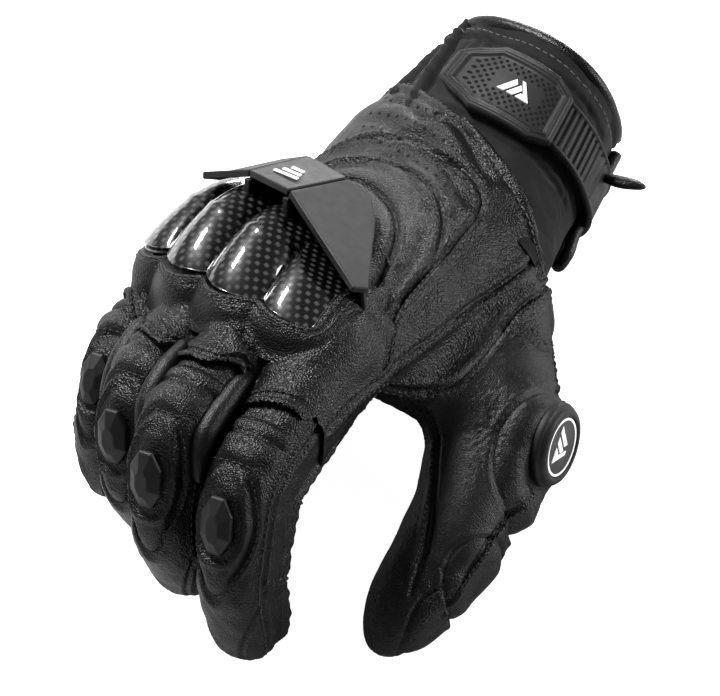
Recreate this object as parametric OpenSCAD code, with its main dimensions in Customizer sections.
// Right-hand short-cuff leather riding glove, resting palm down on its fingertips.
// The hand is built flat, fingers along -Y, thumb along +X and back of hand up,
// and lay() then tips it so that the fingertips and the cuff reach the ground.

/* [Hand] */
// Breadth across the knuckles
palm_w = 88; // [86:0.5:90]
// Wrist crease to the middle knuckle
palm_l = 93; // [92:0.5:94]
// Thickness of the leather stalls
wall = 2.2; // [1.8:0.1:2.4]
// Gap left between moving segments at a joint
joint_gap = 0.5; // [0.4:0.05:0.7]
// Turn of the four fingers towards the thumb
spread = 9.5; // [9:0.1:10]

/* [Rest pose] */
// Index finger bend at knuckle, middle and tip joints
index_bend = [22, 49, 29]; // [10:1:60]
// Middle finger bend at its three joints
middle_bend = [12, 65, 38]; // [10:1:70]
// Ring finger bend at its three joints
ring_bend = [10, 69, 43]; // [10:1:70]
// Little finger bend at its three joints
little_bend = [10, 50, 33]; // [10:1:60]
// Thumb bend at its knuckle and tip joints
thumb_bend = [22, 13]; // [8:1:30]
// Upward bend of the cuff at the wrist
wrist_bend = 19; // [15:1:23]

/* [Armour] */
// Height of the knuckle domes over the rim of the guard
dome_h = 13; // [11:0.5:14]
// Thickness of the moulded knuckle guard
guard_t = 1.8; // [1.4:0.1:2.2]
// Thickness of the vented cover plate
cover_t = 2; // [1.6:0.1:2.2]
// Diameter of the round thumb cap
cap_d = 24; // [22:0.5:26]

/* [Cuff] */
// Length of the cuff from wrist crease to binding
cuff_l = 51; // [48:1:52]
// Width of the closing strap over the back of the wrist
strap_w = 24; // [22:1:26]
// Number of ribs on the strap
ribs = 9; // [7:1:10]
// Width of the slit in the cuff
slit_w = 7; // [6:0.5:8]

/* [Hidden] */
sides = 16;            // corners of a stall's cross-section
hand_sides = 28;       // corners of the hand's cross-section
FINGERS = ["index", "middle", "ring", "little"];
KNUCKLES = [[34, -90, 0], [11.5, -93, 3], [-11.5, -88.5, 1], [-35.5, -79.5, -4]];
BENDS = [index_bend, middle_bend, ring_bend, little_bend];
LENGTHS = [[47, 28, 27], [47, 29, 26], [42, 27, 26], [34.5, 22, 23]];
HALF_W = [[10.5, 10.4, 9.6, 8.0], [10.5, 10.4, 9.6, 8.0], [10.4, 10.2, 9.4, 7.8], [9.4, 9.3, 8.6, 7.2]];
HALF_H = [[11.2, 10.8, 9.4, 7.4], [11.2, 10.8, 9.4, 7.4], [11.0, 10.5, 9.2, 7.2], [10.4, 9.8, 8.4, 6.8]];
// Half of each joint's least and greatest bend: cut angles above and below the hinge
KNUCKLE_CUT = [-2, 35];
MIDDLE_CUT = [-7, 45];
TIP_CUT = [-3, 31];
THUMB_ROOT = [31.5, -23.9, -18.2];
THUMB_TURN = [44, 31, 84];
THUMB_L = [34, 39, 38.5];
THUMB_W = [16.5, 15.5, 12.3, 9.0];
THUMB_H = [17, 16, 12, 8.6];
THUMB_KNUCKLE_CUT = [-3, 23];
THUMB_TIP_CUT = [-1, 25];
thumb_room_r = 19.6;
wrist_up = (wrist_bend + 15) / 2;
wrist_down = (25 - wrist_bend) / 2;
slit_at = -36;         // angle of the cuff slit round the wrist
hinge_at = 39;         // angle of the strap's fold round the wrist
plate_end = 97;       // angle where the strap plate ends
rib_end = -56;         // angle where the ribbed strap ends
strap_mid = 28;        // strap's centre line from the wrist crease
strap_top = 4.8;       // strap's top face over the cuff
pitch = 23;            // spacing of the knuckles
rest_turn = [-16.1, -16.2, 0];
rest_shift = [-17.37, 51.25, 28.05];

// ---- helper functions -------------------------------------------------------------

function mix(a, b, t) = a + (b - a) * t;
function soft(v, e) = sign(v) * pow(abs(v), e);
function flat(rows) = [for (r = rows) each r];

// Point of a rounded-rectangle section of half width a and half height b
function oval(a, b, phi) = [a * soft(cos(phi), 0.85), b * soft(sin(phi), 0.85)];

// Distance that a section's end is cut back at height z, for cut = [above, below]
function cut_back(z, cut) = joint_gap + abs(z) * tan(z > 0 ? cut[0] : cut[1]);

// Point on a stall: t along it, phi round it, h over its surface
function stall_pt(a, b, len, cuts, t, phi, h) =
  let (p = oval(mix(a[0], a[1], t) + h, mix(b[0], b[1], t) + h, phi))
  [p[0], -mix(cut_back(p[1], cuts[0]), len - cut_back(p[1], cuts[1]), t), p[1]];

function stall_rings(a, b, len, cuts, inset) =
  [for (k = [0:4]) [for (i = [0:sides-1]) stall_pt(a, b, len, cuts, k / 4, 360 * i / sides, -inset)]];

// Rings of a closed fingertip, which rounds off over its last part
function tip_rings(a, b, len, cut, inset) =
  [for (t = [0, 0.25, 0.5, 0.68, 0.82, 0.92, 0.98, 1])
    let (s = t < 0.5 ? 1 : sqrt(1.04 - pow((t - 0.5) / 0.5, 2)))
    [for (i = [0:sides-1])
      let (p = oval((mix(a[0], a[1], t) - inset) * s, (mix(b[0], b[1], t) - inset) * s, 360 * i / sides))
      [p[0], -mix(cut_back(p[1], cut), len - inset, t), p[1]]]];

// Sections of the hand: half width, half height and centre along t = 0 wrist to 1 knuckles
function hand_w(t) = palm_w / 88 * lookup(t, [[0, 41], [0.3, 42.3], [0.6, 43.2], [0.85, 44], [1, 44.5]]);
function hand_h(t) = lookup(t, [[0, 23], [0.3, 21], [0.6, 18], [1, 13.6]]);
function hand_x(t) = lookup(t, [[0, -6.5], [0.3, -4.2], [0.6, -1.2], [0.85, 0], [1, -0.7]]);
function arch(x) = 3 - 0.0038 * pow(x - 8, 2);
function knuckle_line(x) = palm_l - 0.0065 * pow(x - 11, 2);

function hand_pt(t, phi, h) =
  let (p = oval(hand_w(t) + h, hand_h(t) + h, phi), x = hand_x(t) + p[0],
       y0 = cut_back(p[1], [wrist_up, wrist_down]),
       y1 = knuckle_line(x) - 1.6 - cut_back(p[1], [0, KNUCKLE_CUT[1]]))
  [x, -mix(y0, y1, t), p[1] + t * arch(x)];

// Height of the back of the hand at x
function back_z(x, t) =
  let (r = min(1, abs(x - hand_x(t)) / hand_w(t)))
  hand_h(t) * pow(1 - pow(r, 2.35), 0.425) + t * arch(x);

// Sections of the cuff: s is the distance from the wrist crease
function cuff_pt(s, phi, h) =
  let (t = s / cuff_l, p = oval(mix(41.5, 30.5, t) + h, mix(23.5, 24.5, t) + h, phi),
       y0 = cut_back(p[1], [wrist_up, wrist_down]))
  [mix(-6.5, -13, t) + p[0], mix(y0, cuff_l, t), p[1]];

// ---- solids from rings, grids and paths -------------------------------------------

function quad(a, b, c, d) = [[a, b, c], [a, c, d]];

// Hollow shell between two lists of rings, open at both ends or closed at the last
module sleeve(outer, inner, closed = false) {
  n = len(outer[0]);
  m = len(outer);
  o = n * m;
  faces = concat(
    [for (k = [0:m-2], i = [0:n-1]) let (j = (i + 1) % n)
      each quad(k*n+j, k*n+i, (k+1)*n+i, (k+1)*n+j)],
    [for (k = [0:m-2], i = [0:n-1]) let (j = (i + 1) % n)
      each quad(o+k*n+i, o+k*n+j, o+(k+1)*n+j, o+(k+1)*n+i)],
    [for (i = [0:n-1]) let (j = (i + 1) % n) each quad(i, j, o+j, o+i)],
    closed
      ? [[for (i = [n-1:-1:0]) (m-1)*n+i], [for (i = [0:n-1]) o+(m-1)*n+i]]
      : [for (i = [0:n-1]) let (j = (i + 1) % n)
          each quad((m-1)*n+j, (m-1)*n+i, o+(m-1)*n+i, o+(m-1)*n+j)]);
  polyhedron(flat(concat(outer, inner)), faces, convexity = 6);
}

// Solid slab between two grids of points, top over bottom
module slab(top, bottom) {
  n = len(top[0]);
  m = len(top);
  o = n * m;
  faces = concat(
    [for (k = [0:m-2], i = [0:n-2]) each quad(k*n+i, k*n+i+1, (k+1)*n+i+1, (k+1)*n+i)],
    [for (k = [0:m-2], i = [0:n-2]) each quad(o+k*n+i+1, o+k*n+i, o+(k+1)*n+i, o+(k+1)*n+i+1)],
    [for (k = [0:m-2]) each quad(k*n, (k+1)*n, o+(k+1)*n, o+k*n)],
    [for (k = [0:m-2]) each quad((k+1)*n+n-1, k*n+n-1, o+k*n+n-1, o+(k+1)*n+n-1)],
    [for (i = [0:n-2]) each quad(i+1, i, o+i, o+i+1)],
    [for (i = [0:n-2]) each quad((m-1)*n+i, (m-1)*n+i+1, o+(m-1)*n+i+1, o+(m-1)*n+i)]);
  polyhedron(flat(concat(top, bottom)), faces, convexity = 6);
}

// Round cord of radius r through the points of a path
module cord(path, r, closed = false) {
  n = 8;
  m = len(path);
  unit = function (v) v / norm(v);
  along = [for (k = [0:m-1])
    unit(closed ? path[(k+1)%m] - path[(k+m-1)%m] : path[min(k+1, m-1)] - path[max(k-1, 0)])];
  rings = [for (k = [0:m-1])
    let (side = unit(cross(along[k], [0.13, 0.21, 1])), rise = cross(side, along[k]))
    [for (i = [0:n-1]) path[k] + r * (side * cos(360*i/n) + rise * sin(360*i/n))]];
  faces = concat(
    [for (k = [0:(closed ? m-1 : m-2)], i = [0:n-1]) let (j = (i + 1) % n, l = (k + 1) % m)
      each quad(k*n+j, l*n+j, l*n+i, k*n+i)],
    closed ? [] : [[for (i = [n-1:-1:0]) i], [for (i = [0:n-1]) (m-1)*n+i]]);
  polyhedron(flat(rings), faces, convexity = 8);
}

// ---- places -----------------------------------------------------------------------

module lay() { translate(rest_shift) rotate(rest_turn) children(); }

module at_knuckle(f) {
  lay() translate(KNUCKLES[f]) rotate([0, 0, spread]) rotate([BENDS[f][0], 0, 0]) children();
}
module at_middle(f) {
  at_knuckle(f) translate([0, -LENGTHS[f][0], 0]) rotate([BENDS[f][1], 0, 0]) children();
}
module at_tip(f) {
  at_middle(f) translate([0, -LENGTHS[f][1], 0]) rotate([BENDS[f][2], 0, 0]) children();
}
module in_thumb_root() {
  translate(THUMB_ROOT) rotate([0, 0, THUMB_TURN[0]]) rotate([THUMB_TURN[1], 0, 0])
    rotate([0, THUMB_TURN[2], 0]) children();
}
module at_thumb_root() { lay() in_thumb_root() children(); }
module at_thumb_knuckle() {
  at_thumb_root() translate([0, -THUMB_L[0], 0]) rotate([thumb_bend[0], 0, 0]) children();
}
module at_thumb_tip() {
  at_thumb_knuckle() translate([0, -THUMB_L[1], 0]) rotate([thumb_bend[1], 0, 0]) children();
}
module at_wrist() { lay() rotate([wrist_bend, 0, 0]) children(); }

// ---- fingers ----------------------------------------------------------------------

function pair(list, k) = [list[k], list[k + 1]];

module proximal(f) {
  cuts = [KNUCKLE_CUT, MIDDLE_CUT];
  color("#26262a") at_knuckle(f) sleeve(
    stall_rings(pair(HALF_W[f], 0), pair(HALF_H[f], 0), LENGTHS[f][0], cuts, 0),
    stall_rings(pair(HALF_W[f], 0), pair(HALF_H[f], 0), LENGTHS[f][0], cuts, wall));
}

module middle(f) {
  cuts = [MIDDLE_CUT, TIP_CUT];
  color("#2a2a2e") at_middle(f) sleeve(
    stall_rings(pair(HALF_W[f], 1), pair(HALF_H[f], 1), LENGTHS[f][1], cuts, 0),
    stall_rings(pair(HALF_W[f], 1), pair(HALF_H[f], 1), LENGTHS[f][1], cuts, wall));
}

module tip(f) {
  color("#242428") at_tip(f) sleeve(
    tip_rings(pair(HALF_W[f], 2), pair(HALF_H[f], 2), LENGTHS[f][2], TIP_CUT, 0),
    tip_rings(pair(HALF_W[f], 2), pair(HALF_H[f], 2), LENGTHS[f][2], TIP_CUT, wall), true);
}

// Pleated stretch panel over the root of a finger
module accordion(f) {
  a = pair(HALF_W[f], 0);
  b = pair(HALF_H[f], 0);
  cuts = [KNUCKLE_CUT, MIDDLE_CUT];
  grid = function (h0, ripple) [for (k = [0:12]) [for (i = [0:8])
    stall_pt(a, b, LENGTHS[f][0], cuts, 0.2 + 0.3 * k / 12, 145 - 110 * i / 8,
      h0 + ripple * abs(sin(180 * k / 4)))]];
  color("#1e1e22") at_knuckle(f) slab(grid(0.7, 0.9), grid(0.1, 0));
}

// Crowned oval leather pad over the middle joint
module knuckle_pad(f) {
  a = pair(HALF_W[f], 1);
  b = pair(HALF_H[f], 1);
  cuts = [MIDDLE_CUT, TIP_CUT];
  grid = function (base, crown) [for (k = [0:8]) let (u = -1 + 2 * k / 8) [for (i = [0:8])
    let (v = -1 + 2 * i / 8)
    stall_pt(a, b, LENGTHS[f][1], cuts, 0.48 + 0.46 * u,
      90 - 58 * v * sqrt(1.1 - u * u), base + crown * (1 - u * u) * (1 - v * v))]];
  color("#303034") at_middle(f) slab(grid(0.6, 2.2), grid(0.1, 0));
}

// Hard faceted oval slider on the pad
module slider(f) {
  s = HALF_W[f][1] / 10.4;
  color("#3a3a40") at_middle(f)
    translate([0, -0.42 * LENGTHS[f][1], HALF_H[f][1] + 2.4]) scale(s) rotate([4, 0, 0]) hull() {
      scale_oval(5.2, 8.6, 1.2);
      translate([0, -0.8, 2.6]) scale_oval(2.4, 4.4, 0.6);
    }
}

// Eight-sided prism with half widths a and b
module scale_oval(a, b, h) {
  linear_extrude(h) polygon([for (i = [0:7]) [a * cos(45 * i + 22.5), b * sin(45 * i + 22.5)]]);
}

// ---- thumb ------------------------------------------------------------------------

// Space in the hand that the thumb swings in
module thumb_room() {
  in_thumb_root() {
    sphere(r = thumb_room_r, $fn = 40);
    rotate([90, 0, 0]) cylinder(h = 46, r1 = thumb_room_r, r2 = thumb_room_r + 11, $fn = 40);
  }
}

module thumb_base() {
  cuts = [[0, 0], THUMB_KNUCKLE_CUT];
  ring = function (inset) [for (k = [0:4]) [for (i = [0:sides-1])
    let (p = stall_pt(pair(THUMB_W, 0), pair(THUMB_H, 0), THUMB_L[0], cuts, k / 4, 360 * i / sides, -inset))
    [p[0], p[1] - 7.5 * (1 - k / 4), p[2]]]];
  color("#26262a") at_thumb_root() sleeve(ring(0), ring(wall));
}

module thumb_middle() {
  cuts = [THUMB_KNUCKLE_CUT, THUMB_TIP_CUT];
  color("#2a2a2e") at_thumb_knuckle() sleeve(
    stall_rings(pair(THUMB_W, 1), pair(THUMB_H, 1), THUMB_L[1], cuts, 0),
    stall_rings(pair(THUMB_W, 1), pair(THUMB_H, 1), THUMB_L[1], cuts, wall));
}

module thumb_tip() {
  color("#242428") at_thumb_tip() sleeve(
    tip_rings(pair(THUMB_W, 2), pair(THUMB_H, 2), THUMB_L[2], THUMB_TIP_CUT, 0),
    tip_rings(pair(THUMB_W, 2), pair(THUMB_H, 2), THUMB_L[2], THUMB_TIP_CUT, wall), true);
}

// Crowned pad on the back of a thumb segment, mid and half are its place along it
module thumb_pad(k, mid, half, turn, base, crown) {
  cuts = k == 1 ? [THUMB_KNUCKLE_CUT, THUMB_TIP_CUT] : [THUMB_TIP_CUT, [0, 0]];
  grid = function (h0, h1) [for (j = [0:8]) let (u = -1 + 2 * j / 8) [for (i = [0:10])
    let (v = -1 + 2 * i / 10)
    stall_pt(pair(THUMB_W, k), pair(THUMB_H, k), THUMB_L[k], cuts, mid + half * u,
      90 - turn * v * sqrt(1.15 - u * u), h0 + h1 * (1 - u * u) * (1 - v * v))]];
  slab(grid(base, crown), grid(0.3, 0));
}

module thumb_guard_pad() { color("#303034") at_thumb_knuckle() thumb_pad(1, 0.34, 0.33, 74, 0.8, 3.2); }
module thumb_knuckle_pad() { color("#2c2c30") at_thumb_tip() thumb_pad(2, 0.2, 0.16, 60, 0.7, 2.2); }
module thumb_tip_pad() { color("#2c2c30") at_thumb_tip() thumb_pad(2, 0.52, 0.14, 60, 0.7, 1.6); }

module cap_place() { translate([0, -0.17 * THUMB_L[1], THUMB_H[1] + 3.1]) rotate([5.9, 0, 0]) children(); }

// Raised rubber ring of the thumb cap, with a floor that carries the disc
module thumb_cap() {
  color("#1c1c1f") at_thumb_knuckle() cap_place()
    rotate_extrude($fn = 64) polygon([[0, 0], [cap_d/2, 0], [cap_d/2, 2.6], [cap_d/2 - 1, 3.6],
      [cap_d/2 - 2.4, 3.6], [cap_d/2 - 2.8, 2.2], [0, 2.2]]);
}

module thumb_disc() {
  color("white") at_thumb_knuckle() cap_place()
    translate([0, 0, 2.25]) cylinder(h = 0.6, d = cap_d - 6, $fn = 64);
}

// Reinforcement on the inner side of the thumb
module thumb_patch() {
  cuts = [THUMB_KNUCKLE_CUT, THUMB_TIP_CUT];
  grid = function (h) [for (k = [0:5]) [for (i = [0:8])
    stall_pt(pair(THUMB_W, 1), pair(THUMB_H, 1), THUMB_L[1], cuts, 0.12 + 0.78 * k / 5,
      310 - 80 * i / 8, h)]];
  color("#18181b") at_thumb_knuckle() slab(grid(1), grid(0.1));
}

// ---- hand -------------------------------------------------------------------------

HAND_STATIONS = [0, 0.1, 0.25, 0.4, 0.55, 0.7, 0.82, 0.92, 1];
function hand_rings(inset) =
  [for (t = HAND_STATIONS) [for (i = [0:hand_sides-1]) hand_pt(t, 360 * i / hand_sides, -inset)]];

module hand_shell() {
  color("#232327") lay() difference() {
    sleeve(hand_rings(0), hand_rings(wall));
    thumb_room();
  }
}

module hand_lining() {
  color("#3c3c40") lay() difference() {
    sleeve(hand_rings(wall + 0.3), hand_rings(wall + 1.1));
    thumb_room();
  }
}

// Flat panel on the hand between two stations and two angles
module hand_panel(t0, t1, phi0, phi1, low, high, rows = 6, columns = 8) {
  grid = function (h) [for (k = [0:rows]) [for (i = [0:columns])
    hand_pt(mix(t0, t1, k / rows), mix(phi0, phi1, i / columns), h)]];
  slab(grid(high), grid(low));
}

module perforated_panel() { color("#2b2b2f") lay() hand_panel(0.1, 0.48, 140, 62, 0.15, 1.1); }
module side_panel() {
  color("#2e2e33") lay() difference() {
    hand_panel(0.16, 0.66, 44, 8, 0.2, 1.2);
    thumb_room();
  }
}
module palm_patch() {
  color("#1b1b1e") lay() difference() {
    hand_panel(0.42, 0.9, 308, 232, 0.2, 1.6);
    thumb_room();
  }
}
module heel_pad() {
  color("#303034") lay() hand_panel(0.08, 0.32, 262, 218, 0.2, 2.4);
}

// Domed profile of the knuckle guard: 1 over a knuckle, less between knuckles
function dome(x) = pow(abs(cos(180 * (x - 11.5) / pitch)), 0.8);
function rim_z(x) = arch(x) + 13.4;
function guard_x(u) = -41 + 82 * u;
function guard_y(u, v) =
  let (x = guard_x(u)) -mix(knuckle_line(x) + 9 + 5 * dome(x), knuckle_line(x) - 24, v);
function guard_z(u, v) =
  let (x = guard_x(u), edge = pow(sin(180 * mix(0.02, 0.98, u)), 0.3),
       free = rim_z(x) + guard_t + (dome_h - 5.5 + 5.5 * dome(x)) * edge * pow(sin(3 + 125 * v), 0.7))
  min(free, wing_z(x, guard_y(u, v)) - 1);
function guard_grid(drop) =
  [for (k = [9:-1:0]) [for (i = [0:36])
    let (u = i / 36, v = k / 9) [guard_x(u), guard_y(u, v), guard_z(u, v) - drop]]];

module knuckle_guard() { color("#101014") lay() slab(guard_grid(0), guard_grid(guard_t)); }

// Foam block between the hand and the guard
module knuckle_foam() {
  rows = function (top) [for (k = [5:-1:0]) [for (i = [0:20])
    let (u = mix(0.1, 0.9, i / 20), v = mix(0.5, 0.95, k / 5), x = guard_x(u),
         y = guard_y(u, v), t = min(1, -y / knuckle_line(x)))
    [x, y, top ? guard_z(u, v) - guard_t - 0.4 : back_z(x, t) + 0.5]]];
  color("#77777c") lay() slab(rows(true), rows(false));
}

// Padded welt round the back and the sides of the guard
module guard_welt() {
  route = concat(
    [for (k = [0:4]) [-41.6, mix(0.97, 0.72, k / 4)]],
    [for (k = [1:13]) [-41 + 82 * k / 14, 0.68]],
    [for (k = [0:4]) [41.6, mix(0.72, 0.97, k / 4)]]);
  path = [for (r = route) [r[0], -knuckle_line(r[0]) * r[1], back_z(r[0], r[1]) + 3.5]];
  color("#29292d") lay() cord(path, 1.6);
}

// Apron of leather in front of the guard, with one scallop over each finger
module knuckle_panel() {
  grid = function (h) [for (k = [0:4]) [for (i = [0:36])
    let (u = i / 36, x = guard_x(u))
    [x, guard_y(u, 0) - 0.4 - (3 + 4 * dome(x)) * k / 4, rim_z(x) + 0.5 + h - 0.3 * k / 4]]];
  color("#2e2e33") lay() slab(grid(1.5), grid(0.2));
}

// Flat plate with corners listed front edge first
module facet(corners) {
  hull() for (c = corners) translate(c) cylinder(h = cover_t, r = 0.6, $fn = 16);
}

COVER_FRONT_L = [-15, -72, 35];
COVER_FRONT_R = [3, -74.5, 35.5];
COVER_REAR_L = [-17, -46, 28.5];
COVER_REAR_R = [2, -50, 29];

// Height of the underside of the cover's long wing
function wing_z(x, y) = COVER_FRONT_R[2] - 0.535 * (x - COVER_FRONT_R[0]) - 0.287 * (y - COVER_FRONT_R[1]);
function on_wing(x, y) = [x, y, wing_z(x, y)];

module guard_cover() {
  color("#3d3d42") lay() {
    facet([COVER_FRONT_L, COVER_FRONT_R, COVER_REAR_R, COVER_REAR_L]);
    facet([COVER_FRONT_R, COVER_REAR_R, on_wing(10, -50), on_wing(16, -56), on_wing(38, -81),
      on_wing(37, -85)]);
    facet([COVER_FRONT_L, COVER_REAR_L, [-27, -48, 25], [-34, -66, 25.5], [-33, -73, 29.5]]);
  }
}

// Two upright fins that tie the cover to the guard
module guard_fins() {
  color("#34343a") lay() for (p = [COVER_FRONT_L, COVER_FRONT_R])
    hull() {
      translate(p + [0, 0.5, -3.4]) cylinder(h = 1.2, r = 0.8, $fn = 16);
      translate(p + [0, 5, -3.4]) cylinder(h = 1.2, r = 0.8, $fn = 16);
      translate(p + [0, -1, -6.5]) cylinder(h = 1, r = 0.8, $fn = 16);
      translate(p + [0, 4, -6.5]) cylinder(h = 1, r = 0.8, $fn = 16);
    }
}

// Plain raised bars on the cover's centre panel
module cover_badge() {
  color("white") lay() for (k = [0:2])
    translate([-11 - k * 0.4, -66 + 3 * k, 36.1 - 0.78 * k]) rotate([-14.4, -1.5, -8]) cube([10 - 2 * k, 1.4, 0.6]);
}

// ---- cuff and strap ---------------------------------------------------------------

CUFF_STATIONS = [0, 0.15, 0.35, 0.55, 0.75, 1];
function cuff_rings(inset) =
  [for (t = CUFF_STATIONS) [for (i = [hand_sides-1:-1:0]) cuff_pt(cuff_l * t, 360 * i / hand_sides, -inset)]];

module slit_room() {
  hull() for (s = [9, cuff_l + 6])
    translate(cuff_pt(s, slit_at, 0)) rotate([0, -slit_at + 8, 0]) translate([-8, 0, -slit_w / 2]) cube([20, 1, slit_w]);
}

module cuff_shell() {
  color("#2f2f33") at_wrist() difference() {
    sleeve(cuff_rings(0), cuff_rings(wall));
    slit_room();
  }
}

module cuff_lining() {
  color("#44444a") at_wrist() difference() {
    sleeve(cuff_rings(wall + 0.1), cuff_rings(wall + 1));
    slit_room();
  }
}

// Leather-covered piping round the open end
module cuff_binding() {
  path = [for (i = [0:30]) cuff_pt(cuff_l, slit_at + 12 + 336 * i / 30, -wall / 2) + [0, 2.1, 0]];
  color("#1d1d20") at_wrist() cord(path, 1.9);
}

// Piping that edges the slit and ends in a loop at the wrist
module slit_piping() {
  half = 7.5;
  path = concat(
    [for (k = [0:5]) cuff_pt(mix(49, 13, k / 5), slit_at + half, 2)],
    [for (k = [1:5]) cuff_pt(13 - 7 * sin(180 * k / 6), slit_at + half * cos(180 * k / 6), 2)],
    [for (k = [0:5]) cuff_pt(mix(13, 49, k / 5), slit_at - half, 2)]);
  color("#1d1d20") at_wrist() cord(path, 1.6);
}

// Panel on the cuff; edge gives its half width for an angle
module cuff_panel(phi0, phi1, low, high, edge, columns, rows = 2, ripple = 0) {
  grid = function (h, wave) [for (k = [rows:-1:0]) [for (i = [0:columns])
    let (phi = mix(phi0, phi1, i / columns), rise = wave * (i % 4 < 2 ? 1 : 0))
    cuff_pt(strap_mid + edge(phi) * (2 * k / rows - 1), phi, h + rise)]];
  slab(grid(low, 0), grid(high, ripple));
}

// Half width of the six-sided strap plate at an angle
function plate_half(phi) =
  lookup(phi, [[hinge_at, strap_w * 0.38], [hinge_at + 12, strap_w / 2], [plate_end - 12, strap_w / 2],
    [plate_end, strap_w * 0.22]]);

module loop_patch() {
  color("#18181b") at_wrist()
    cuff_panel(hinge_at + 8, plate_end - 6, 0.15, 1, function (phi) strap_w * 0.3, 8);
}
module hook_patch() {
  color("#101012") at_wrist()
    cuff_panel(hinge_at + 8, plate_end - 8, 1.4, 2, function (phi) strap_w * 0.28, 8);
}
module strap_plate() {
  color("#2a2a2e") at_wrist()
    cuff_panel(hinge_at + 0.8, plate_end, 2.1, strap_top, function (phi) plate_half(phi), 20);
}
module plate_badge() {
  color("white") at_wrist()
    cuff_panel(hinge_at + 20, plate_end - 20, strap_top + 0.1, strap_top + 0.7,
      function (phi) 3.4 - 0.02 * pow(phi - 68, 2), 8);
}

// Ribbed band from the fold to under the palm side
module strap_ribs() {
  half = strap_w * 0.38;
  color("#333338") at_wrist() cuff_panel(rib_end, hinge_at - 0.8, 3.8, 3.9,
    function (phi) half, ribs * 4, 2, 0.8);
}

// Small tongue that sticks out at the end of the strap
module pull_tab() {
  color("#1a1a1d") at_wrist() translate(cuff_pt(strap_mid + 3, -8, 7.6)) rotate([0, -14, 0])
    hull() {
      translate([0, 0, -1]) cylinder(h = 2, r = 3, $fn = 24);
      translate([7, 2, -1]) cylinder(h = 2, r = 2.4, $fn = 24);
    }
}

// ---- nodes ------------------------------------------------------------------------

hand_shell();
hand_lining();
knuckle_guard();
guard_cover();
guard_fins();
cover_badge();
knuckle_foam();
guard_welt();
perforated_panel();
knuckle_panel();
side_panel();
palm_patch();
heel_pad();
for (f = [0:3]) {
  proximal(f);
  middle(f);
  tip(f);
  accordion(f);
  knuckle_pad(f);
  slider(f);
}
thumb_base();
thumb_middle();
thumb_tip();
thumb_guard_pad();
thumb_cap();
thumb_disc();
thumb_knuckle_pad();
thumb_tip_pad();
thumb_patch();
cuff_shell();
cuff_lining();
cuff_binding();
slit_piping();
loop_patch();
strap_ribs();
pull_tab();
strap_plate();
plate_badge();
hook_patch();
